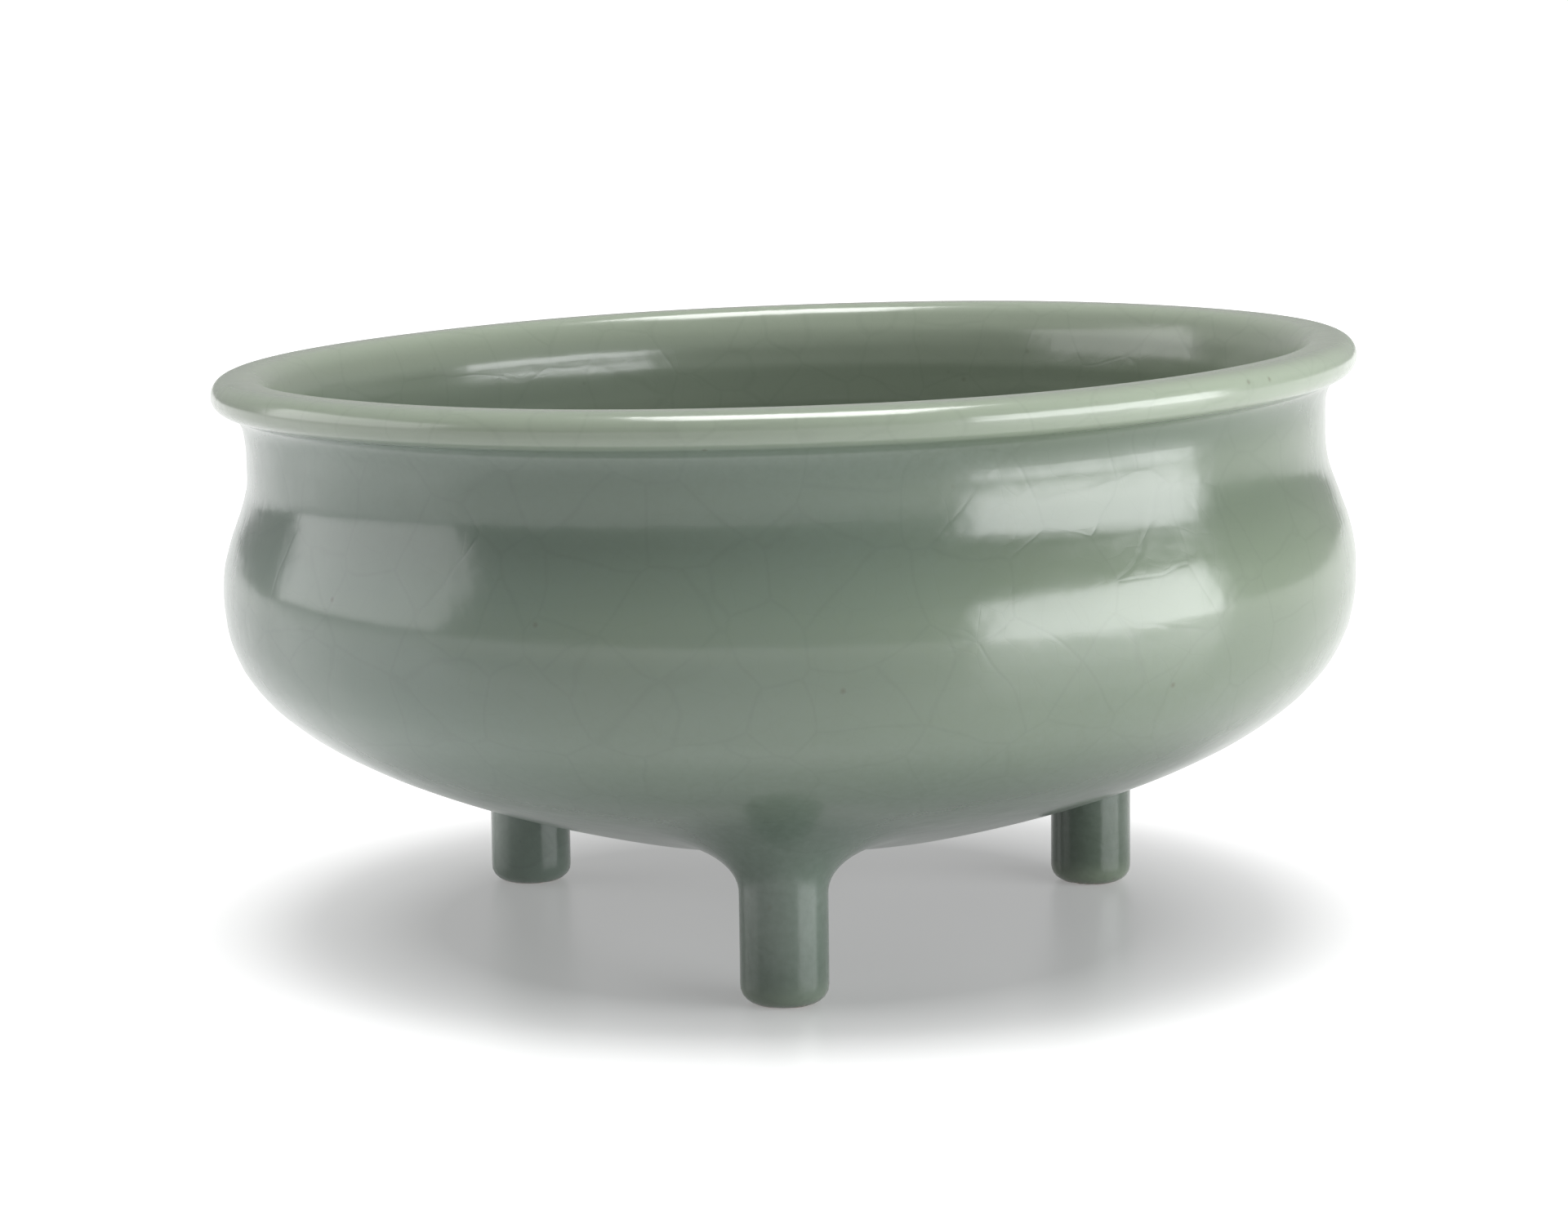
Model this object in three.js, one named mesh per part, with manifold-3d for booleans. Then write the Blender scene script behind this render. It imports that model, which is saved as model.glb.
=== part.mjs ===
// Celadon tripod censer: one hollow stoneware vessel on three stub feet.
// Millimetres, +Z up. The origin is on the floor, under the middle of the vessel, and -Y is the front.
import * as THREE from 'three';
import * as BufferGeometryUtils from 'three/addons/utils/BufferGeometryUtils.js';
import Module from 'manifold-3d';

const wasm = await Module();
wasm.setup();

// Heights, one above the other from the floor to the crown of the lip
const BASE_CLEARANCE = 16.2;     // floor to the underside of the base
const BELLY_DEPTH = 35;          // base to the widest level of the belly
const SHOULDER_HEIGHT = 16.3;    // widest level of the belly to the foot of the neck
const NECK_HEIGHT = 4.4;         // straight wall of the neck
const LIP_RISE = 9.8;            // top of the neck, where it starts to flare, to the crown of the lip

// Radii of the turned body
const BASE_RADIUS = 31.5;        // flat of the base
const NECK_RADIUS = 75.5;
const BELLY_SWELL = 4.1;         // how far the belly stands out past the neck
const LIP_OVERHANG = 4.5;        // how far the everted lip stands out past the neck
const BELLY_FULLNESS = 2.64;     // power of the depth by which the belly draws in: higher is fuller

// Potting
const WALL = 4.8;                // neck, shoulder and belly
const FLOOR_THICKNESS = 5.2;     // base of the bowl
const LIP_THICKNESS = 5;         // height of the rounded outer edge of the lip
const LIP_LAND = 3.2;            // flat crown of the lip, measured along the radius
const BASE_RECESS_RADIUS = 22;   // shallow turned recess under the base
const BASE_RECESS_DEPTH = 1.2;

// Feet
const FOOT_COUNT = 3;
const FOOT_CIRCLE_RADIUS = 48.4;
const FOOT_OFFSET = 0.9;         // the feet stand this far off the body's centre, away from the lean
const FOOT_RADIUS = 5.9;         // column of a foot
const PAD_RADIUS = 3.5;          // flat that stands on the floor
const TOE_HEIGHT = 2.3;          // rounding between the pad and the column
const ROOT_SPREAD = 12;          // how far the root runs out over the belly
const ROOT_DROP = 6.8;           // how far below the belly the root starts to run out

// The body leans a little to one side: its rings lean more the higher they are
const RIM_LEAN = THREE.MathUtils.degToRad(1.54);
const LEAN_TOWARDS = THREE.MathUtils.degToRad(183);

// Fineness of the facets
const BODY_SIDES = 60;
const FOOT_SIDES = 18;
const STEPS_BELLY = 11;
const STEPS_SHOULDER = 6;
const STEPS_FLARE = 4;
const STEPS_EDGE = 6;
const STEPS_TOE = 3;
const STEPS_ROOT = 6;

const bellyHeight = BASE_CLEARANCE + BELLY_DEPTH;
const neckFootHeight = bellyHeight + SHOULDER_HEIGHT;
const neckTopHeight = neckFootHeight + NECK_HEIGHT;
const rimHeight = neckTopHeight + LIP_RISE;
const innerFloorHeight = BASE_CLEARANCE + FLOOR_THICKNESS;
const outerBelly = NECK_RADIUS + BELLY_SWELL;
const edgeRadius = LIP_THICKNESS / 2;
const crownOuterRadius = NECK_RADIUS + LIP_OVERHANG - edgeRadius;
const crownInnerRadius = crownOuterRadius - LIP_LAND;

// Radius of a bowl that draws in from its belly to its base by a power of the depth
function bowlRadius(depthShare, bellyRadius) {
  return bellyRadius - (bellyRadius - BASE_RADIUS) * depthShare ** BELLY_FULLNESS;
}

// Depth share below the belly at which that bowl has a radius
function bowlDepthShare(radius, bellyRadius) {
  const drawnIn = (bellyRadius - radius) / (bellyRadius - BASE_RADIUS);
  return THREE.MathUtils.clamp(drawnIn, 0, 1) ** (1 / BELLY_FULLNESS);
}

// Base, belly, shoulder and neck of the outer or inner face, from the base up
function wallProfile(baseHeight, bellyRadius, neckRadius) {
  const points = [];
  for (let i = 0; i <= STEPS_BELLY; i += 1) {
    const share = Math.cos((Math.PI / 2) * (i / STEPS_BELLY));
    points.push(new THREE.Vector2(bowlRadius(share, bellyRadius), bellyHeight - (bellyHeight - baseHeight) * share));
  }
  for (let i = 1; i <= STEPS_SHOULDER; i += 1) {
    const share = i / STEPS_SHOULDER;
    const radius = neckRadius + (bellyRadius - neckRadius) * (1 - share * share) ** 2;
    points.push(new THREE.Vector2(radius, bellyHeight + SHOULDER_HEIGHT * share));
  }
  points.push(new THREE.Vector2(neckRadius, neckTopHeight));
  return points;
}

// Points along part of an ellipse, without its first point
function arc(centreR, centreZ, semiR, semiZ, from, to, steps) {
  return Array.from({ length: steps }, (_, i) => {
    const angle = from + ((to - from) * (i + 1)) / steps;
    return new THREE.Vector2(centreR + semiR * Math.cos(angle), centreZ + semiZ * Math.sin(angle));
  });
}

// The outside: base with its recess, wall, underside of the lip, and the rounded edge of the lip
function outerProfile() {
  const recessZ = BASE_CLEARANCE + BASE_RECESS_DEPTH;
  const quarter = Math.PI / 2;
  return [
    new THREE.Vector2(0, recessZ),
    new THREE.Vector2(BASE_RECESS_RADIUS - BASE_RECESS_DEPTH, recessZ),
    new THREE.Vector2(BASE_RECESS_RADIUS, BASE_CLEARANCE),
    ...wallProfile(BASE_CLEARANCE, outerBelly, NECK_RADIUS),
    ...arc(crownOuterRadius, neckTopHeight, NECK_RADIUS - crownOuterRadius, LIP_RISE - LIP_THICKNESS,
      0, quarter, STEPS_FLARE),
    ...arc(crownOuterRadius, rimHeight - edgeRadius, edgeRadius, edgeRadius, -quarter, quarter, STEPS_EDGE),
    new THREE.Vector2(0, rimHeight),
  ];
}

// The hollow: bowl, neck and the flare up to the crown, carried past the crown so that it opens
function hollowProfile() {
  const innerNeck = NECK_RADIUS - WALL;
  const past = rimHeight + WALL;
  return [
    new THREE.Vector2(0, innerFloorHeight),
    ...wallProfile(innerFloorHeight, outerBelly - WALL, innerNeck),
    ...arc(crownInnerRadius, neckTopHeight, innerNeck - crownInnerRadius, LIP_RISE, 0, Math.PI / 2, STEPS_FLARE),
    new THREE.Vector2(crownInnerRadius, past),
    new THREE.Vector2(0, past),
  ];
}

// A turned solid about Z from a profile that starts and ends on the axis
function turned(profile) {
  const geometry = new THREE.LatheGeometry(profile, BODY_SIDES);
  geometry.rotateX(Math.PI / 2);
  return geometry;
}

// Height of the belly's outer face above a point of the floor
function bellyFaceHeight(x, y) {
  return bellyHeight - BELLY_DEPTH * bowlDepthShare(Math.hypot(x, y), outerBelly);
}

// One foot, upright on the floor: pad, rounded toe, column, and a root that runs out over the belly.
// Every ring is a circle round the foot's axis, and the root's rings hang from the belly's face.
function footGeometry(azimuth) {
  const centreX = FOOT_CIRCLE_RADIUS * Math.cos(azimuth) - FOOT_OFFSET * Math.cos(LEAN_TOWARDS);
  const centreY = FOOT_CIRCLE_RADIUS * Math.sin(azimuth) - FOOT_OFFSET * Math.sin(LEAN_TOWARDS);
  const belowBelly = (drop) => (x, y) => bellyFaceHeight(x, y) - drop;
  const rings = [{ radius: PAD_RADIUS, height: () => 0 }];
  for (let i = 1; i <= STEPS_TOE; i += 1) {
    const angle = (Math.PI / 2) * (i / STEPS_TOE);
    const radius = PAD_RADIUS + (FOOT_RADIUS - PAD_RADIUS) * Math.sin(angle);
    rings.push({ radius, height: () => TOE_HEIGHT * (1 - Math.cos(angle)) });
  }
  for (let i = 0; i <= STEPS_ROOT; i += 1) {
    const angle = (Math.PI / 2) * (i / STEPS_ROOT);
    const radius = FOOT_RADIUS + ROOT_SPREAD * (1 - Math.cos(angle));
    rings.push({ radius, height: belowBelly(ROOT_DROP * (1 - Math.sin(angle))) });
  }
  rings.push({ radius: FOOT_RADIUS + ROOT_SPREAD, height: belowBelly(-WALL / 2) });

  const positions = [centreX, centreY, 0];
  for (const ring of rings) {
    for (let side = 0; side < FOOT_SIDES; side += 1) {
      const turn = azimuth + (2 * Math.PI * side) / FOOT_SIDES;
      const x = centreX + ring.radius * Math.cos(turn);
      const y = centreY + ring.radius * Math.sin(turn);
      positions.push(x, y, ring.height(x, y));
    }
  }
  positions.push(centreX, centreY, belowBelly(-WALL / 2)(centreX, centreY));

  const topCentre = positions.length / 3 - 1;
  const topRing = topCentre - FOOT_SIDES;
  const index = [];
  for (let side = 0; side < FOOT_SIDES; side += 1) {
    const next = (side + 1) % FOOT_SIDES;
    index.push(0, 1 + next, 1 + side);
    for (let low = 1; low < topRing; low += FOOT_SIDES) {
      const high = low + FOOT_SIDES;
      index.push(low + side, low + next, high + next, low + side, high + next, high + side);
    }
    index.push(topRing + side, topRing + next, topCentre);
  }
  const geometry = new THREE.BufferGeometry();
  geometry.setAttribute('position', new THREE.Float32BufferAttribute(positions, 3));
  geometry.setIndex(index);
  return geometry;
}

function toSolid(geometry) {
  const bare = geometry.clone();
  bare.deleteAttribute('normal');
  bare.deleteAttribute('uv');
  const merged = BufferGeometryUtils.mergeVertices(bare, 1e-4);
  return new wasm.Manifold(new wasm.Mesh({
    numProp: 3,
    vertProperties: Float32Array.from(merged.attributes.position.array),
    triVerts: Uint32Array.from(merged.index.array),
  }));
}

function toGeometry(solid) {
  const mesh = solid.getMesh();
  const geometry = new THREE.BufferGeometry();
  geometry.setAttribute('position', new THREE.BufferAttribute(Float32Array.from(mesh.vertProperties), 3));
  geometry.setIndex(new THREE.BufferAttribute(Uint32Array.from(mesh.triVerts), 1));
  return geometry;
}

// Tilts each level by its share of the lean, and carries it sideways by what the levels below it lean.
// The lean is nothing at the floor, so the pads of the feet stay flat.
function lean(geometry) {
  const towards = new THREE.Vector2(Math.cos(LEAN_TOWARDS), Math.sin(LEAN_TOWARDS));
  const position = geometry.attributes.position;
  for (let i = 0; i < position.count; i += 1) {
    const [x, y, z] = [position.getX(i), position.getY(i), position.getZ(i)];
    const slope = (RIM_LEAN * z) / rimHeight;
    const carried = (slope * z) / 2;
    const along = x * towards.x + y * towards.y;
    position.setXYZ(i, x + towards.x * carried, y + towards.y * carried, z - along * slope);
  }
  return geometry;
}

// Puts the vessel over the origin, standing on the floor
function centreOverOrigin(geometry) {
  geometry.computeBoundingBox();
  const middle = geometry.boundingBox.getCenter(new THREE.Vector3());
  geometry.translate(-middle.x, -middle.y, 0);
  return geometry;
}

// The feet join the solid body before it is hollowed, so that no root shows inside the bowl
function censerGeometry() {
  let solid = toSolid(turned(outerProfile()));
  for (let i = 0; i < FOOT_COUNT; i += 1) {
    const azimuth = -Math.PI / 2 + (2 * Math.PI * i) / FOOT_COUNT;
    solid = solid.add(toSolid(footGeometry(azimuth)));
  }
  solid = solid.subtract(toSolid(turned(hollowProfile())));
  return centreOverOrigin(lean(toGeometry(solid)));
}

const celadonGlaze = new THREE.MeshStandardMaterial({ color: 0x8a9c88, roughness: 0.18, metalness: 0 });

const censer = new THREE.Mesh(censerGeometry(), celadonGlaze);
censer.name = 'censer';

const group = new THREE.Group();
group.add(censer);

export default group;
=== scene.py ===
"""Celadon tripod censer: the glazed vessel, and the stage it is shown on.

The vessel is one closed surface, worked out from a turned profile that three feet are drawn
out of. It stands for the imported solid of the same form. Lengths are in metres, +Z is up, and
the front foot is at -Y.
"""

import math

import bpy
import numpy as np
from mathutils import Matrix, Vector


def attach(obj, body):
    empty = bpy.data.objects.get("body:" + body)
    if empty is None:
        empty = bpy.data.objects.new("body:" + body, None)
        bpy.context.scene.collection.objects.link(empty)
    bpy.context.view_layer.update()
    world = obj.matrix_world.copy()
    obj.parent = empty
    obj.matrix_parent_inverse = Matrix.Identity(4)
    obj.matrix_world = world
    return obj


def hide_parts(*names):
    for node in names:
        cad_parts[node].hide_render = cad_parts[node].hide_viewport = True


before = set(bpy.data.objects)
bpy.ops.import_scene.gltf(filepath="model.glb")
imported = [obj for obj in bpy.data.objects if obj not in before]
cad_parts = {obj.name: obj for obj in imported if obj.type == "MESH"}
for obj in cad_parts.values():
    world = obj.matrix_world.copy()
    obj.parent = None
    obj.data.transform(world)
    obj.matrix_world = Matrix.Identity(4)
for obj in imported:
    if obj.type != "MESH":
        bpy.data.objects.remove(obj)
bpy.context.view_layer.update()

bl_info = {
    "name": "Celadon Tripod Censer",
    "version": (1, 0, 0),
    "blender": (4, 5, 0),
    "location": "3D View > Sidebar > Censer",
    "description": "Builds a celadon tripod censer and the stage it stands on",
    "category": "Add Mesh",
}

MM = 0.001
QUARTER = math.pi / 2
FOOT_AZIMUTHS = tuple(math.radians(a) for a in (-90, 30, 150))

# Fineness of the surface
SECTION_STEP = 0.1 * MM
RING_SPACING = 1.45 * MM
FINE_RING_SPACING = 0.55 * MM  # round the lip and along the feet
BASE_RING_SPACING = 2.6 * MM
SPACING_BLUR = 25  # section steps over which the spacing changes
TURNS = 384  # points round each ring

# Where the glaze lies thick or thin, with painted shade low on the outside and painted light inside
BEND_BLUR = 1.6 * MM
BEND_SCALE = 260  # curvature, per metre, that counts as a full edge or hollow
# Partly glaze run, partly painted shade: darkens the lower belly more towards the base
RUN_DOWN_AND_SHADE = 1.5  # how much the depth outside grows from the belly to the base
# Painted light: lowers the depth inside so the inner wall takes the lighter thin-glaze colour
INSIDE_PAINTED_LIGHT = -0.55
DEPTH_BLUR = 1.5 * MM

# Noise and cell scales of the glaze, per metre
CLOUD_SCALE, BLOTCH_SCALE, GRAIN_SCALE = 16, 60, 900
WIDE_CRACKLE, FINE_CRACKLE, SPECK_SCALE = 95.0, 230.0, 260.0

# Floor: its size, and where it gives off less light on the viewer's side
FLOOR_HALF = 3.0
FRONT_EDGE = 0.2  # distance ahead at which the glow has dropped
FRONT_FADE = 12
FRONT_SHARE = 0.3  # share of the glow left there
FRONT_END = 0.45  # distance from the vessel past which the glow comes back
FRONT_RETURN = 3

# View
EYE = (0.02997, -0.5622, 0.1339)
YAW, PITCH, ROLL = -0.0539, 0.1568, -0.0104
SENSOR_WIDTH = 36


# Properties


def length(name, description, millimetres, low=0.0):
    return bpy.props.FloatProperty(
        name=name,
        description=description,
        default=millimetres * MM,
        min=low,
        precision=4,
        unit="LENGTH",
        subtype="DISTANCE",
    )


def colour(name, description, value):
    return bpy.props.FloatVectorProperty(
        name=name,
        description=description,
        default=value,
        min=0.0,
        max=1.0,
        size=3,
        subtype="COLOR",
    )


def amount(name, description, value, high=1.0):
    return bpy.props.FloatProperty(
        name=name, description=description, default=value, min=0.0, max=high, subtype="FACTOR"
    )


class CenserForm(bpy.types.PropertyGroup):
    """Sizes of the vessel."""

    base_clearance: length("Base clearance", "Floor to the underside of the base", 16.2)
    belly_depth: length("Belly depth", "Base to the widest level of the belly", 35)
    shoulder_height: length("Shoulder height", "Widest level to the foot of the neck", 16.3)
    neck_height: length("Neck height", "Straight wall of the neck", 4.4)
    lip_rise: length("Lip rise", "Top of the neck to the crown of the lip", 9.8)
    base_radius: length("Base radius", "Flat of the base", 31.5)
    neck_radius: length("Neck radius", "Outer face of the neck", 75.5)
    belly_swell: length("Belly swell", "How far the belly stands out past the neck", 4.1)
    lip_overhang: length("Lip overhang", "How far the lip stands out past the neck", 4.5)
    belly_fullness: bpy.props.FloatProperty(
        name="Belly fullness",
        description="Power of the depth by which the belly draws in",
        default=2.64,
        min=1.0,
        max=6.0,
    )
    wall: length("Wall", "Thickness of the wall", 4.8)
    floor_thickness: length("Floor thickness", "Thickness of the base", 5.2)
    lip_thickness: length("Lip thickness", "Height of the lip's rounded edge", 5)
    lip_land: length("Lip land", "Width of the lip's crown", 3.2)
    recess_radius: length("Recess radius", "Turned recess under the base", 22)
    recess_depth: length("Recess depth", "Depth of that recess", 1.2)
    foot_circle: length("Foot circle", "Radius of the circle the feet stand on", 48.4)
    foot_offset: length("Foot offset", "How far the feet sit off centre", 0.9)
    foot_radius: length("Foot radius", "Column of a foot", 5.9)
    pad_radius: length("Pad radius", "Flat that stands on the floor", 3.5)
    toe_height: length("Toe height", "Rounding between pad and column", 2.3)
    root_spread: length("Root spread", "How far a foot's root runs out over the belly", 12)
    root_drop: length("Root drop", "How far below the belly the root starts", 6.8)
    rim_lean: bpy.props.FloatProperty(
        name="Rim lean",
        description="How far the rim is off level",
        default=math.radians(1.54),
        unit="ROTATION",
        subtype="ANGLE",
    )
    lean_towards: bpy.props.FloatProperty(
        name="Lean towards",
        description="Direction the body leans to, from +X",
        default=math.radians(183),
        unit="ROTATION",
        subtype="ANGLE",
    )
    axis_x: length("Axis X", "Where the body's axis meets the floor, along X", 0.93, -0.1)
    axis_y: length("Axis Y", "Where the body's axis meets the floor, along Y", 0.05, -0.1)
    wobble: length("Wobble", "How uneven the hand-thrown form is", 0.22)
    throwing_ridge: length("Throwing ridge", "Height of the faint turning ridges", 0.05)
    softness: length("Softness", "How far the glaze rounds a corner", 0.7)


class CeladonFinish(bpy.types.PropertyGroup):
    """Colours and surface of the glaze."""

    glaze: colour("Glaze", "The glaze at its usual thickness", (0.148, 0.182, 0.132))
    # Also painted shade: the lower belly and the feet take this colour through the glaze depth
    pooled: colour("Pooled glaze", "The glaze where it has run together", (0.050, 0.072, 0.053))
    # Also painted light: the inner wall takes this colour
    thin: colour("Thin glaze", "The glaze where it has drawn off an edge", (0.248, 0.286, 0.224))
    blue_tinge: colour("Blue tinge", "Cloudy passages in the glaze", (0.140, 0.178, 0.150))
    bare: colour("Bare clay", "Fired clay where no glaze is", (0.300, 0.130, 0.060))
    mottle: amount("Mottle", "How uneven the glaze colour is", 0.3)
    crackle: amount("Crackle", "How strongly the crackle shows", 0.07)
    roughness: amount("Roughness", "Roughness of the glaze", 0.2)
    coat: amount("Coat", "Clear top of the glaze", 0.15)


class StageSetting(bpy.types.PropertyGroup):
    """Floor, light and view."""

    floor: colour("Floor", "Colour of the floor", (0.42, 0.42, 0.42))
    near_glow: amount("Near glow", "Light the floor gives off under the vessel", 0.24, 2.0)
    far_glow: amount("Far glow", "Light the floor gives off away from the vessel", 1.0, 2.0)
    lens: bpy.props.FloatProperty(
        name="Lens", description="Focal length of the view", default=92.05, min=10, max=300
    )
    key_power: bpy.props.FloatProperty(
        name="Window power", description="Power of the window light", default=2.15, unit="POWER"
    )
    top_power: bpy.props.FloatProperty(
        name="Top power", description="Power of the overhead light", default=33.0, unit="POWER"
    )
    fill_power: bpy.props.FloatProperty(
        name="Fill power", description="Power of the light on the left", default=1.85, unit="POWER"
    )


# Vessel surface


def bowl_radius(form, depth_share, belly):
    """Belly radius less its inset over the base times the depth share to the fullness power."""
    return belly - (belly - form.base_radius) * depth_share**form.belly_fullness


def ellipse_arc(centre, semi, start, end, count):
    """Points centre + (semi_r cos a, semi_z sin a) for a from start to end."""
    angle = np.linspace(start, end, count)
    return np.stack(
        [centre[0] + semi[0] * np.cos(angle), centre[1] + semi[1] * np.sin(angle)], axis=1
    )


def wall_curve(form, base_height, belly, neck):
    """One face of the wall from base to neck.

    The belly is the power law of bowl_radius. The shoulder is the neck radius plus the swell
    times the square of (1 - share squared). The neck is straight.
    """
    belly_height = form.base_clearance + form.belly_depth
    share = np.cos(np.linspace(0, QUARTER, 160))
    bowl = np.stack(
        [bowl_radius(form, share, belly), belly_height - (belly_height - base_height) * share],
        axis=1,
    )
    rise = np.linspace(0, 1, 60)[1:]
    shoulder = np.stack(
        [
            neck + (belly - neck) * (1 - rise**2) ** 2,
            belly_height + form.shoulder_height * rise,
        ],
        axis=1,
    )
    top = [[neck, belly_height + form.shoulder_height + form.neck_height]]
    return np.concatenate([bowl, shoulder, top])


def vessel_profile(form):
    """The whole section, from the axis under the base, round the lip, to the axis inside."""
    neck = form.neck_radius
    belly = neck + form.belly_swell
    edge = form.lip_thickness / 2
    crown_outer = neck + form.lip_overhang - edge
    crown_inner = crown_outer - form.lip_land
    neck_top = form.base_clearance + form.belly_depth + form.shoulder_height + form.neck_height
    rim = neck_top + form.lip_rise
    inner_neck = neck - form.wall
    recess = form.base_clearance + form.recess_depth
    inner_floor = form.base_clearance + form.floor_thickness
    under = [
        [0, recess],
        [form.recess_radius - form.recess_depth, recess],
        [form.recess_radius, form.base_clearance],
    ]
    outer = wall_curve(form, form.base_clearance, belly, neck)
    flare = ellipse_arc(
        (crown_outer, neck_top), (neck - crown_outer, form.lip_rise - form.lip_thickness), 0, QUARTER, 30
    )
    lip = ellipse_arc((crown_outer, rim - edge), (edge, edge), -QUARTER, QUARTER, 40)
    inner_flare = ellipse_arc(
        (crown_inner, neck_top), (inner_neck - crown_inner, form.lip_rise), QUARTER, 0, 40
    )
    inner = wall_curve(form, inner_floor, belly - form.wall, inner_neck)[::-1]
    points = np.concatenate([under, outer, flare[1:], lip[1:], inner_flare, inner[1:], [[0, inner_floor]]])
    return points, rim


def even_curve(points, spacing):
    """The same curve with points at equal distances along it."""
    along = np.concatenate([[0], np.cumsum(np.linalg.norm(np.diff(points, axis=0), axis=1))])
    steps = np.linspace(0, along[-1], int(round(along[-1] / spacing)) + 1)
    return np.stack([np.interp(steps, along, points[:, k]) for k in (0, 1)], axis=1)


def gaussian(values, sigma_steps, odd=False):
    """Values averaged with a bell curve; past each end they go on mirrored, or mirrored and negated."""
    reach = int(4 * sigma_steps) + 1
    kernel = np.exp(-0.5 * (np.arange(-reach, reach + 1) / sigma_steps) ** 2)
    kernel /= kernel.sum()
    sign = -1 if odd else 1
    padded = np.concatenate([sign * values[reach:0:-1], values, sign * values[-2 : -reach - 2 : -1]])
    return np.convolve(padded, kernel, mode="valid")


def stations(form):
    """Points of the section where the rings go, with the glaze depth at each.

    The section is rounded with a bell curve of width softness. Glaze depth is minus the
    curvature of the section, spread by a bell curve and put through tanh: it is below 0 on
    edges, which the glaze draws off, and above 0 in hollows, where it pools. Outside, the
    depth also grows from the belly to the base: partly glaze run down, partly painted shade
    that darkens the lower belly. Inside it is lowered, which is painted light: the inner wall
    takes the lighter thin-glaze colour.
    """
    fine = SECTION_STEP
    raw, rim = vessel_profile(form)
    curve = even_curve(raw, fine)
    steps = form.softness / fine
    curve = np.stack([gaussian(curve[:, 0], steps, True), gaussian(curve[:, 1], steps)], axis=1)
    tangent = np.gradient(curve, fine, axis=0)
    heading = np.unwrap(np.arctan2(tangent[:, 1], tangent[:, 0]))
    bend = gaussian(np.gradient(heading, fine), BEND_BLUR / fine)
    depth = -np.tanh(bend / BEND_SCALE)

    radius, height = curve.T
    outside = np.arange(len(curve)) < np.argmax(height)
    run = 1 - height / (form.base_clearance + form.belly_depth)
    # Painted shade outside, growing towards the base on top of the glaze run; painted light inside,
    # lightening the inner wall
    depth = depth + np.where(outside, RUN_DOWN_AND_SHADE * np.clip(run, 0, 1), INSIDE_PAINTED_LIGHT)
    depth = gaussian(depth, DEPTH_BLUR / fine)
    lip = height > rim - 2.2 * form.lip_thickness
    foot_reach = form.foot_radius + form.root_spread + form.foot_offset + 1 * MM
    foot_band = outside & (np.abs(radius - form.foot_circle) < foot_reach) & (height < 0.5 * rim)
    spacing = np.full(len(curve), RING_SPACING)
    spacing[lip] = FINE_RING_SPACING
    spacing[foot_band] = FINE_RING_SPACING
    spacing[(radius < 0.9 * form.base_radius) & ~foot_band] = BASE_RING_SPACING
    spacing = gaussian(spacing, SPACING_BLUR)
    count = np.concatenate([[0], np.cumsum(fine / spacing[1:])])
    picks = np.interp(np.linspace(0, count[-1], int(count[-1])), count, np.arange(len(curve)))
    at = lambda values: np.interp(picks, np.arange(len(curve)), values)
    return at(radius), at(height), at(depth), at(outside.astype(float)) > 0.5, rim


def draw_out_feet(form, x, y, z, depth, bare, face):
    """Draws three feet out of the turned surface, which stretches over them like a skin.

    A point at a share u of the way from a foot's axis to the edge of its root, in plan, goes to
    the share 1 - u of the way along the foot's section. That section is the root, a quarter
    ellipse tangent to the belly; the upright column; the toe, a quarter ellipse; and the pad.
    """
    reach = form.foot_radius + form.root_spread
    drop, spread = form.root_drop, form.root_spread
    column = float(face(form.foot_circle)) - drop - form.toe_height
    lengths = np.array(
        [QUARTER * math.sqrt((drop**2 + spread**2) / 2), column, 1.5 * form.toe_height, form.pad_radius]
    )
    root_end, column_end, toe_end = np.cumsum(lengths)[:3] / lengths.sum()
    for azimuth in FOOT_AZIMUTHS:
        cx = form.foot_circle * math.cos(azimuth) - form.foot_offset * math.cos(form.lean_towards)
        cy = form.foot_circle * math.sin(azimuth) - form.foot_offset * math.sin(form.lean_towards)
        away = np.hypot(x - cx, y - cy)
        near = away < reach
        ux, uy = (x[near] - cx) / away[near], (y[near] - cy) / away[near]
        share = 1 - away[near] / reach

        root = np.clip(share / root_end, 0, 1)
        down = np.clip((share - root_end) / (column_end - root_end), 0, 1)
        toe = np.clip((share - column_end) / (toe_end - column_end), 0, 1)
        pad = np.clip((share - toe_end) / (1 - toe_end), 0, 1)
        radius = form.foot_radius + spread * (1 - np.sin(root * QUARTER))
        radius -= (form.foot_radius - form.pad_radius) * (1 - np.cos(toe * QUARTER))
        radius *= 1 - pad
        px, py = cx + radius * ux, cy + radius * uy
        hang = face(np.hypot(px, py)) - drop * (1 - np.cos(root * QUARTER))
        upright = hang + (form.toe_height - hang) * down
        x[near], y[near] = px, py
        z[near] = upright - form.toe_height * np.sin(toe * QUARTER)
        # Painted shade with some real pooling: the feet get a high glaze depth, so the pooled colour
        # darkens them, most at the root where glaze pools; the toe is lighter where the glaze draws off
        pooled = 0.8 + 0.3 * np.exp(-(((share - 0.8 * root_end) / 0.16) ** 2))
        drawn_off = 0.8 * np.exp(-(((share - column_end - 0.03) / 0.05) ** 2))
        depth[near] = depth[near] * (1 - root) + (pooled - drawn_off) * np.clip(root * 2, 0, 1)
        bare[near] = np.clip((share - toe_end + 0.03) / 0.03, 0, 1)


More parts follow.
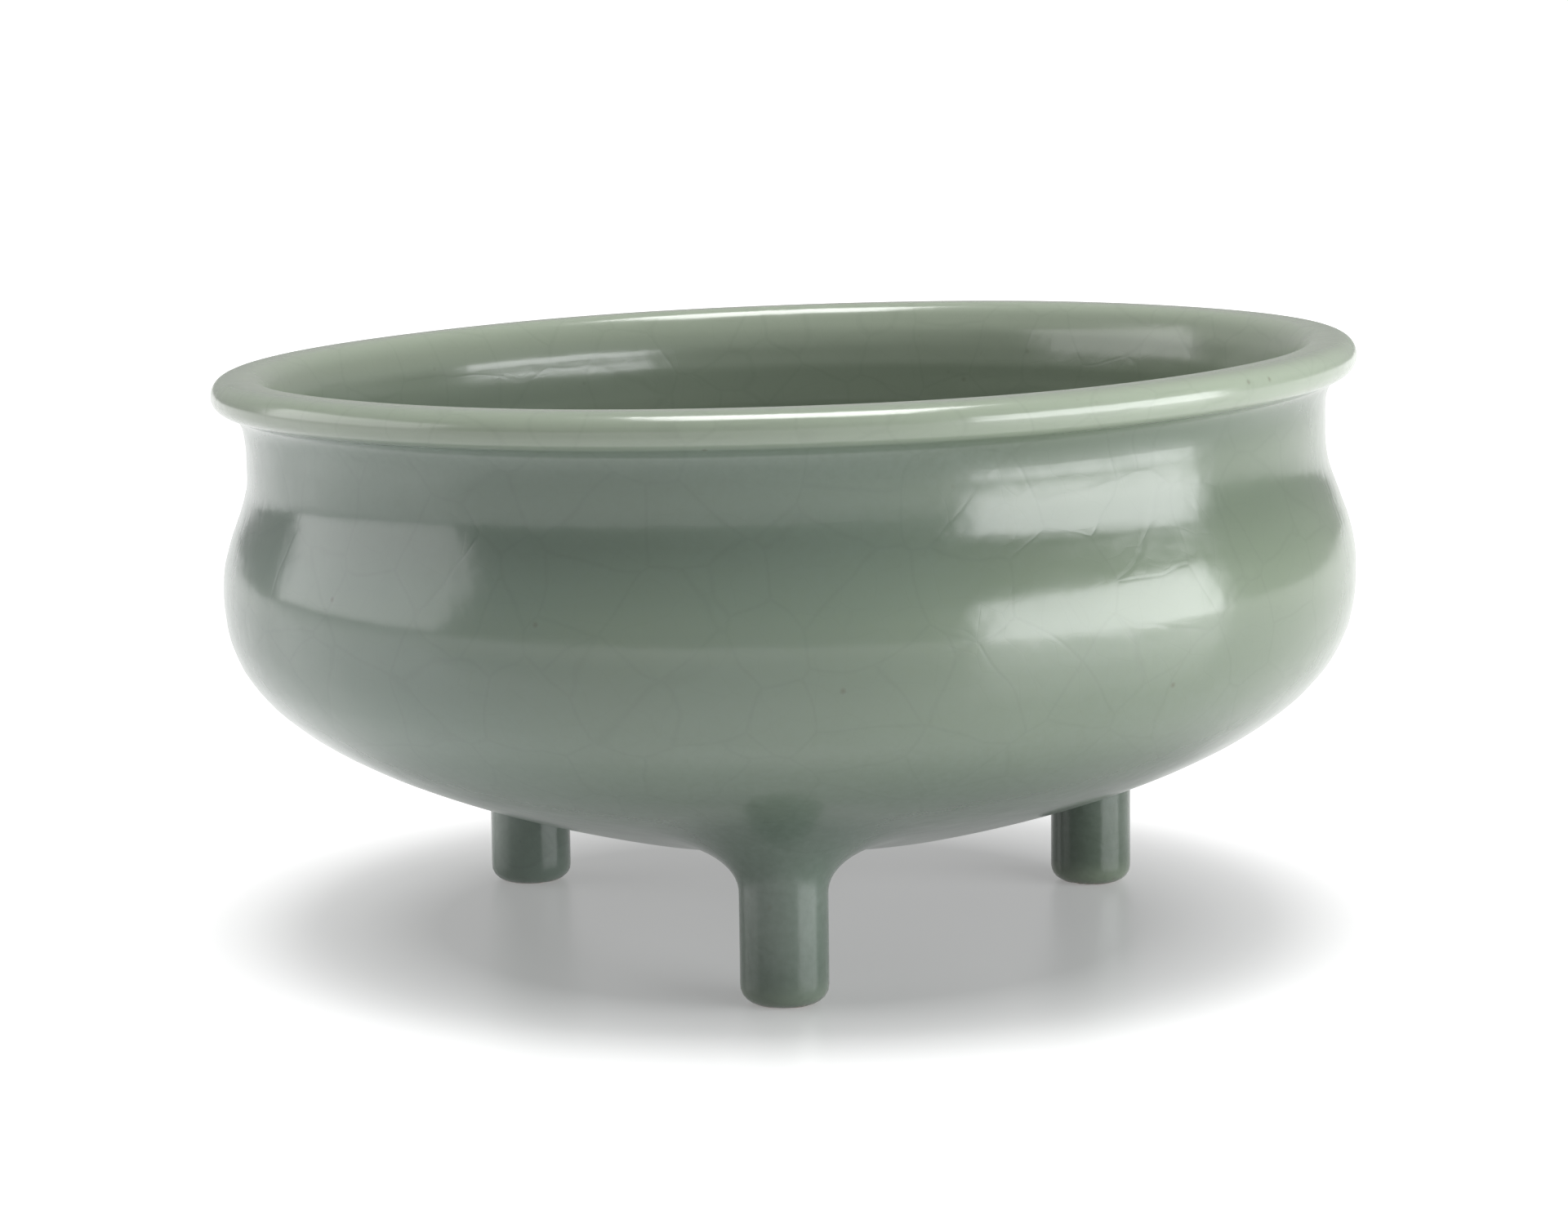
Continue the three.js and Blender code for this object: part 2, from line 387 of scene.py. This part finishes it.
def vessel_surface(form):
    """The vessel as a function of two parameters: azimuth, and distance along the section.

    A point is (r cos a, r sin a, z), with r and z from the section and a hand-thrown unevenness
    added: r gets low harmonics of a that grow with height, and a fine ripple along the section.
    Then the feet are drawn out, and the whole is leaned, more the higher it is.
    """
    radius, height, depth, outside, rim = stations(form)
    turns = TURNS
    even = np.linspace(0, 2 * math.pi, turns, endpoint=False)
    azimuth = even - 0.5 * np.sin(3 * (even - FOOT_AZIMUTHS[0])) / 3

    r, a = np.meshgrid(radius, azimuth, indexing="ij")
    z = np.repeat(height[:, None], turns, axis=1)
    depth = np.repeat(depth[:, None], turns, axis=1)
    bare = np.zeros_like(z)

    level = (z / rim) ** 2
    swell = 0.55 * np.sin(2 * a + 0.9) + 0.3 * np.sin(3 * a - 1.1) + 0.15 * np.sin(5 * a + 2.0)
    sag = 0.5 * np.sin(2 * a - 0.4) + 0.35 * np.sin(3 * a + 2.3) + 0.15 * np.sin(7 * a)
    upper = np.clip((r - form.foot_circle) / (0.3 * form.neck_radius), 0, 1)
    ripple = np.sin(z / (0.74 * MM) + a) + 0.6 * np.sin(z / (0.46 * MM) - 2 * a + 1.0)
    r = r + form.wobble * swell * level + form.throwing_ridge * ripple * upper * 0.5
    z = z + form.wobble * sag * level

    x, y = r * np.cos(a), r * np.sin(a)
    below = outside & (height < form.base_clearance + 0.8 * form.belly_depth)
    low_r, low_z = radius[below], height[below]
    face = lambda distance: np.interp(distance, low_r, low_z)
    rows = np.flatnonzero(below)
    part = slice(rows[0], rows[-1] + 1)
    views = [v[part].reshape(-1) for v in (x, y, z, depth, bare)]
    draw_out_feet(form, *views, face)
    for whole, view in zip((x, y, z, depth, bare), views):
        whole[part] = view.reshape(whole[part].shape)

    towards = np.array([math.cos(form.lean_towards), math.sin(form.lean_towards)])
    slope = form.rim_lean * z / rim
    along = x * towards[0] + y * towards[1]
    carried = slope * z / 2
    x = x + towards[0] * carried + form.axis_x
    y = y + towards[1] * carried + form.axis_y
    z = z - along * slope
    return np.stack([x, y, z], axis=-1), depth, bare


def closed_grid(name, grid, attributes):
    """A mesh from rings that close on themselves, with its first and last rings drawn to a pole."""
    rows, turns = grid.shape[:2]
    body = grid[1:-1].reshape(-1, 3)
    poles = np.stack([grid[0].mean(axis=0), grid[-1].mean(axis=0)])
    points = np.concatenate([body, poles])
    index = np.arange(len(body)).reshape(rows - 2, turns)
    right = np.roll(index, -1, axis=1)
    quads = np.stack([index[:-1], right[:-1], right[1:], index[1:]], axis=-1).reshape(-1, 4)
    first, last = len(body), len(body) + 1
    start = np.stack([np.full(turns, first), right[0], index[0]], axis=-1)
    end = np.stack([np.full(turns, last), index[-1], right[-1]], axis=-1)
    corners = np.concatenate([quads.reshape(-1), start.reshape(-1), end.reshape(-1)])
    sizes = np.concatenate([np.full(len(quads), 4), np.full(2 * turns, 3)])

    mesh = bpy.data.meshes.new(name)
    mesh.vertices.add(len(points))
    mesh.vertices.foreach_set("co", points.astype(np.float32).ravel())
    mesh.loops.add(len(corners))
    mesh.loops.foreach_set("vertex_index", corners.astype(np.int32))
    mesh.polygons.add(len(sizes))
    starts = np.concatenate([[0], np.cumsum(sizes)[:-1]])
    mesh.polygons.foreach_set("loop_start", starts.astype(np.int32))
    mesh.update(calc_edges=True)
    mesh.validate()
    mesh.shade_smooth()
    for label, values in attributes.items():
        flat = np.concatenate([values[1:-1].ravel(), [values[0].mean(), values[-1].mean()]])
        mesh.attributes.new(label, "FLOAT", "POINT").data.foreach_set("value", flat.astype(np.float32))
    obj = bpy.data.objects.new(name, mesh)
    bpy.context.scene.collection.objects.link(obj)
    return obj


# Shaders


class Wire:
    """A socket of a shader tree; arithmetic on it adds Math nodes, and add() any other node."""

    def __init__(self, tree, socket=None):
        self.tree = tree
        self.socket = socket

    def add(self, kind, settings=None, inputs=None, output=0):
        """A node of that type: its settings, then the values or links of its sockets."""
        node = self.tree.nodes.new(kind)
        for key, value in (settings or {}).items():
            if key == "stops":
                ramp = node.color_ramp.elements
                while len(ramp) < len(value):
                    ramp.new(0.5)
                for element, (position, shade) in zip(ramp, value):
                    element.position = position
                    element.color = (shade, shade, shade, 1)
            else:
                setattr(node, key, value)
        for key, value in (inputs or {}).items():
            socket = node.inputs[key]
            if isinstance(value, Wire):
                self.tree.links.new(value.socket, socket)
            else:
                socket.default_value = value
        return Wire(self.tree, node.outputs[output])

    def end(self, kind, surface):
        """The node the tree ends in, with the surface led into it."""
        node = self.tree.nodes.new(kind)
        self.tree.links.new(surface.socket, node.inputs["Surface"])

    def math(self, operation, *values):
        inputs = dict(enumerate(values))
        return self.add("ShaderNodeMath", {"operation": operation}, inputs)

    def __add__(self, other):
        return self.math("ADD", self, other)

    __radd__ = __add__

    def __mul__(self, other):
        return self.math("MULTIPLY", self, other)

    __rmul__ = __mul__

    def __sub__(self, other):
        return self.math("SUBTRACT", self, other)

    def __rsub__(self, other):
        return self.math("SUBTRACT", other, self)

    def __pow__(self, other):
        return self.math("POWER", self, other)

    def clamp(self, low=0.0, high=1.0):
        return self.math("MINIMUM", self.math("MAXIMUM", self, low), high)

    def mix(self, first, second):
        """Colour first where this wire is 0, second where it is 1."""
        inputs = {0: self, 6: first, 7: second}
        return self.add("ShaderNodeMix", {"data_type": "RGBA"}, inputs, output=2)

    def noise(self, place, scale, detail=3.0, roughness=0.5):
        inputs = {"Vector": place, "Scale": scale, "Detail": detail, "Roughness": roughness}
        return self.add("ShaderNodeTexNoise", {}, inputs, output="Fac")


def rgba(value):
    return (*value, 1.0)


def new_tree(name):
    material = bpy.data.materials.new(name)
    material.use_nodes = True
    material.node_tree.nodes.clear()
    return material, Wire(material.node_tree)


def celadon_material(finish):
    """Grey-green glaze over stoneware.

    Colour goes from thin to pooled with the glaze depth, and drifts with broad and fine clouds.
    The depth also holds painted shade, which darkens the lower belly and the feet, and painted
    light, which lightens the inner wall.
    One side of the vessel is greener and the other bluer, as in the photograph. A faint
    crackle and a few iron specks lie in the glaze, and the pads show bare clay.
    """
    material, net = new_tree("celadon_glaze")
    place = net.add("ShaderNodeTexCoord", output="Object")
    depth = net.add("ShaderNodeAttribute", {"attribute_name": "glaze_depth"}, output="Fac")
    bare = net.add("ShaderNodeAttribute", {"attribute_name": "bare_clay"}, output="Fac")

    clouds = net.noise(place, CLOUD_SCALE, 2, 0.5)
    blotches = net.noise(place, BLOTCH_SCALE, 2, 0.5)
    grain = net.noise(place, GRAIN_SCALE, 3, 0.6)
    drift = finish.mottle * ((clouds - 0.5) * 1.5 + (blotches - 0.5) * 0.7)

    # Lighter where the depth is low: glaze drawn off edges, and painted light on the inner wall. Darker
    # where it is high: glaze pooled in hollows and run down, and painted shade on the lower belly and feet
    thinned = (drift * -0.25 - depth * 1.15 - 0.12).clamp()
    pooled = (depth * 0.9 + drift * 0.55 + 0.16).clamp()
    shade = pooled.mix(rgba(finish.glaze), rgba(finish.pooled))
    across = net.add("ShaderNodeSeparateXYZ", {}, {"Vector": place}, "X")
    haze = (0.45 - across * 9 + (net.noise(place, 24, 1, 0.5) - 0.5) * 0.8 + (grain - 0.5) * 0.4).clamp()
    shade = haze.mix(shade, rgba(finish.blue_tinge))
    shade = thinned.mix(shade, rgba(finish.thin))

    warp = net.add(
        "ShaderNodeVectorMath",
        {"operation": "MULTIPLY_ADD"},
        {
            0: net.add("ShaderNodeTexNoise", {}, {"Vector": place, "Scale": 60.0, "Detail": 2.0}, "Color"),
            1: (0.006, 0.006, 0.006),
            2: place,
        },
    )
    cell = {"feature": "DISTANCE_TO_EDGE"}
    wide = net.add("ShaderNodeTexVoronoi", cell, {"Vector": warp, "Scale": WIDE_CRACKLE}, "Distance")
    fine = net.add("ShaderNodeTexVoronoi", cell, {"Vector": warp, "Scale": FINE_CRACKLE}, "Distance")
    line = lambda gap, width: 1 - (gap * (1 / width)).clamp()
    crackle = (line(wide, 0.035) * 0.8 + line(fine, 0.03) * 0.3).clamp()
    shade = (crackle * finish.crackle).mix(shade, rgba([0.5 * c for c in finish.pooled]))

    dot = net.add("ShaderNodeTexVoronoi", {}, {"Vector": place, "Scale": SPECK_SCALE}, "Distance")
    speck = (1 - dot * 7.5).clamp() * ((net.noise(place, 120, 1, 0.5) - 0.6) * 9).clamp()
    shade = (speck * 0.55).mix(shade, rgba((0.07, 0.05, 0.03)))

    toast = ((grain - 0.35) * 1.4).clamp().mix(rgba([0.55 * c for c in finish.bare]), rgba(finish.bare))
    shade = bare.mix(shade, toast)
    roughness = (finish.roughness + (blotches - 0.5) * 0.1 + bare * 0.6).clamp(0.05, 0.9)
    swell = net.noise(place, 180, 2, 0.5)
    relief = swell * 0.7 + grain * (0.03 + bare * 0.5) - crackle * 0.06
    bump = net.add(
        "ShaderNodeBump", {}, {"Strength": 0.22, "Distance": 0.0006, "Height": relief}, "Normal"
    )
    surface = net.add(
        "ShaderNodeBsdfPrincipled",
        {},
        {
            "Base Color": shade,
            "Roughness": roughness,
            "Normal": bump,
            "IOR": 1.5,
            "Coat Weight": (1 - bare) * finish.coat,
            "Coat Roughness": 0.12,
            "Subsurface Weight": 0.12,
            "Subsurface Radius": (0.004, 0.005, 0.0035),
            "Subsurface Scale": 0.5,
        },
    )
    net.end("ShaderNodeOutputMaterial", surface)
    return material


def floor_material(setting):
    """Pale smooth floor.

    It gives off light of its own, more away from the vessel, so that it stays pale to the
    horizon, and less of it on the viewer's side.
    """
    material, net = new_tree("pale_floor")
    place = net.add("ShaderNodeTexCoord", output="Object")
    dust = net.noise(place, 30, 4, 0.6)
    tone = dust.mix(rgba(setting.floor), rgba([min(1.0, 1.02 * c) for c in setting.floor]))
    away = net.add("ShaderNodeVectorMath", {"operation": "LENGTH"}, {0: place}, output="Value")
    ahead = net.add("ShaderNodeSeparateXYZ", {}, {"Vector": place}, "Y")
    behind = ((ahead + FRONT_EDGE) * FRONT_FADE).clamp()
    beyond = ((away - FRONT_END) * FRONT_RETURN).clamp()
    front = (behind + FRONT_SHARE + beyond).clamp()
    # Painted light: besides the slow rise towards the horizon, the glow steps up between 5 and 9 cm from
    # the axis, lightening the edge of the vessel's cast shadow
    spread = ((away - 0.1) * 0.5).clamp()
    spread = (spread + ((away - 0.05) * 26).clamp() * 0.56) * front
    near, far = (rgba([level] * 3) for level in (setting.near_glow, setting.far_glow))
    surface = net.add(
        "ShaderNodeBsdfPrincipled",
        {},
        {
            "Base Color": tone,
            "Roughness": 0.3,
            "Emission Color": spread.mix(near, far),
            "Emission Strength": 1.0,
        },
    )
    net.end("ShaderNodeOutputMaterial", surface)
    return material


# Stage


def area_light(name, place, aim, size, power, tint):
    light = bpy.data.lights.new(name, "AREA")
    light.shape = "RECTANGLE"
    light.size, light.size_y = size
    light.energy = power
    light.color = tint
    obj = bpy.data.objects.new(name, light)
    obj.location = place
    obj.rotation_euler = (Vector(aim) - Vector(place)).to_track_quat("-Z", "Y").to_euler()
    bpy.context.scene.collection.objects.link(obj)
    return obj


def room():
    """World light: white to the viewer; to the vessel, bright behind and dim on the viewer's side."""
    world = bpy.data.worlds.new("pale_room")
    world.use_nodes = True
    bpy.context.scene.world = world
    world.node_tree.nodes.clear()
    net = Wire(world.node_tree)
    direction = net.add("ShaderNodeTexCoord", output="Generated")
    back = net.add("ShaderNodeSeparateXYZ", {}, {"Vector": direction}, "Y")
    glow = (back * 0.2 + 0.2).clamp(0.1, 0.4)
    seen = net.add("ShaderNodeLightPath", output="Is Camera Ray")
    strength = glow * (1 - seen) + seen * 1.1
    light = net.add("ShaderNodeBackground", {}, {"Color": (1, 1, 1, 1), "Strength": strength})
    net.end("ShaderNodeOutputWorld", light)


def view_camera(setting):
    """Camera as fitted to the photograph: 0.563 m away, 0.134 m up, 9 degrees down."""
    ahead = Vector(
        (math.sin(YAW) * math.cos(PITCH), math.cos(YAW) * math.cos(PITCH), -math.sin(PITCH))
    )
    level = Vector((math.cos(YAW), -math.sin(YAW), 0))
    upright = level.cross(ahead)
    right = level * math.cos(ROLL) + upright * math.sin(ROLL)
    up = upright * math.cos(ROLL) - level * math.sin(ROLL)
    data = bpy.data.cameras.new("view")
    data.lens = setting.lens
    data.sensor_width = SENSOR_WIDTH
    data.clip_start = 0.01
    camera = bpy.data.objects.new("view", data)
    camera.matrix_world = Matrix.Translation(EYE) @ Matrix((right, up, -ahead)).transposed().to_4x4()
    bpy.context.scene.collection.objects.link(camera)
    bpy.context.scene.camera = camera


# Operators


class CENSER_OT_vessel(bpy.types.Operator):
    """Make the glazed vessel with its three feet."""

    bl_idname = "censer.vessel"
    bl_label = "Censer vessel"

    def execute(self, context):
        form, finish = context.scene.censer_form, context.scene.censer_finish
        grid, depth, bare = vessel_surface(form)
        vessel = closed_grid("censer_vessel", grid, {"glaze_depth": depth, "bare_clay": bare})
        vessel.data.materials.append(celadon_material(finish))
        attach(vessel, "root")
        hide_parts("censer")
        return {"FINISHED"}


class CENSER_OT_stage(bpy.types.Operator):
    """Make the floor, the lights, the room and the view."""

    bl_idname = "censer.stage"
    bl_label = "Stage"

    def execute(self, context):
        setting = context.scene.censer_stage
        context.scene.view_settings.view_transform = "Standard"
        mesh = bpy.data.meshes.new("floor")
        half = FLOOR_HALF
        corners = [(-half, -half, 0), (half, -half, 0), (half, half, 0), (-half, half, 0)]
        mesh.from_pydata(corners, [], [(0, 1, 2, 3)])
        floor = bpy.data.objects.new("floor", mesh)
        floor.data.materials.append(floor_material(setting))
        context.scene.collection.objects.link(floor)
        area_light("top", (0.0, -0.12, 1.6), (0, 0, 0), (0.9, 0.9), setting.top_power, (1, 1, 1))
        area_light(
            "window", (0.4, -0.2, 0.11), (0.0, 0, 0.11), (0.44, 0.2), setting.key_power, (0.97, 0.99, 1)
        )
        area_light(
            "fill", (-0.74, 0.0, 0.24), (0, 0, 0.06), (0.7, 0.36), setting.fill_power, (1, 1, 1)
        )
        room()
        view_camera(setting)
        return {"FINISHED"}


class CENSER_PT_sidebar(bpy.types.Panel):
    """Lists the pieces in the sidebar."""

    bl_label = "Celadon tripod censer"
    bl_space_type = "VIEW_3D"
    bl_region_type = "UI"
    bl_category = "Censer"

    def draw(self, context):
        for operator in (CENSER_OT_vessel, CENSER_OT_stage):
            self.layout.operator(operator.bl_idname)


CLASSES = (CenserForm, CeladonFinish, StageSetting, CENSER_OT_vessel, CENSER_OT_stage, CENSER_PT_sidebar)


def register():
    for cls in CLASSES:
        bpy.utils.register_class(cls)
    bpy.types.Scene.censer_form = bpy.props.PointerProperty(type=CenserForm)
    bpy.types.Scene.censer_finish = bpy.props.PointerProperty(type=CeladonFinish)
    bpy.types.Scene.censer_stage = bpy.props.PointerProperty(type=StageSetting)


def unregister():
    del bpy.types.Scene.censer_stage
    del bpy.types.Scene.censer_finish
    del bpy.types.Scene.censer_form
    for cls in reversed(CLASSES):
        bpy.utils.unregister_class(cls)


def main():
    register()
    bpy.ops.censer.vessel()
    bpy.ops.censer.stage()


if __name__ == "__main__":
    main()
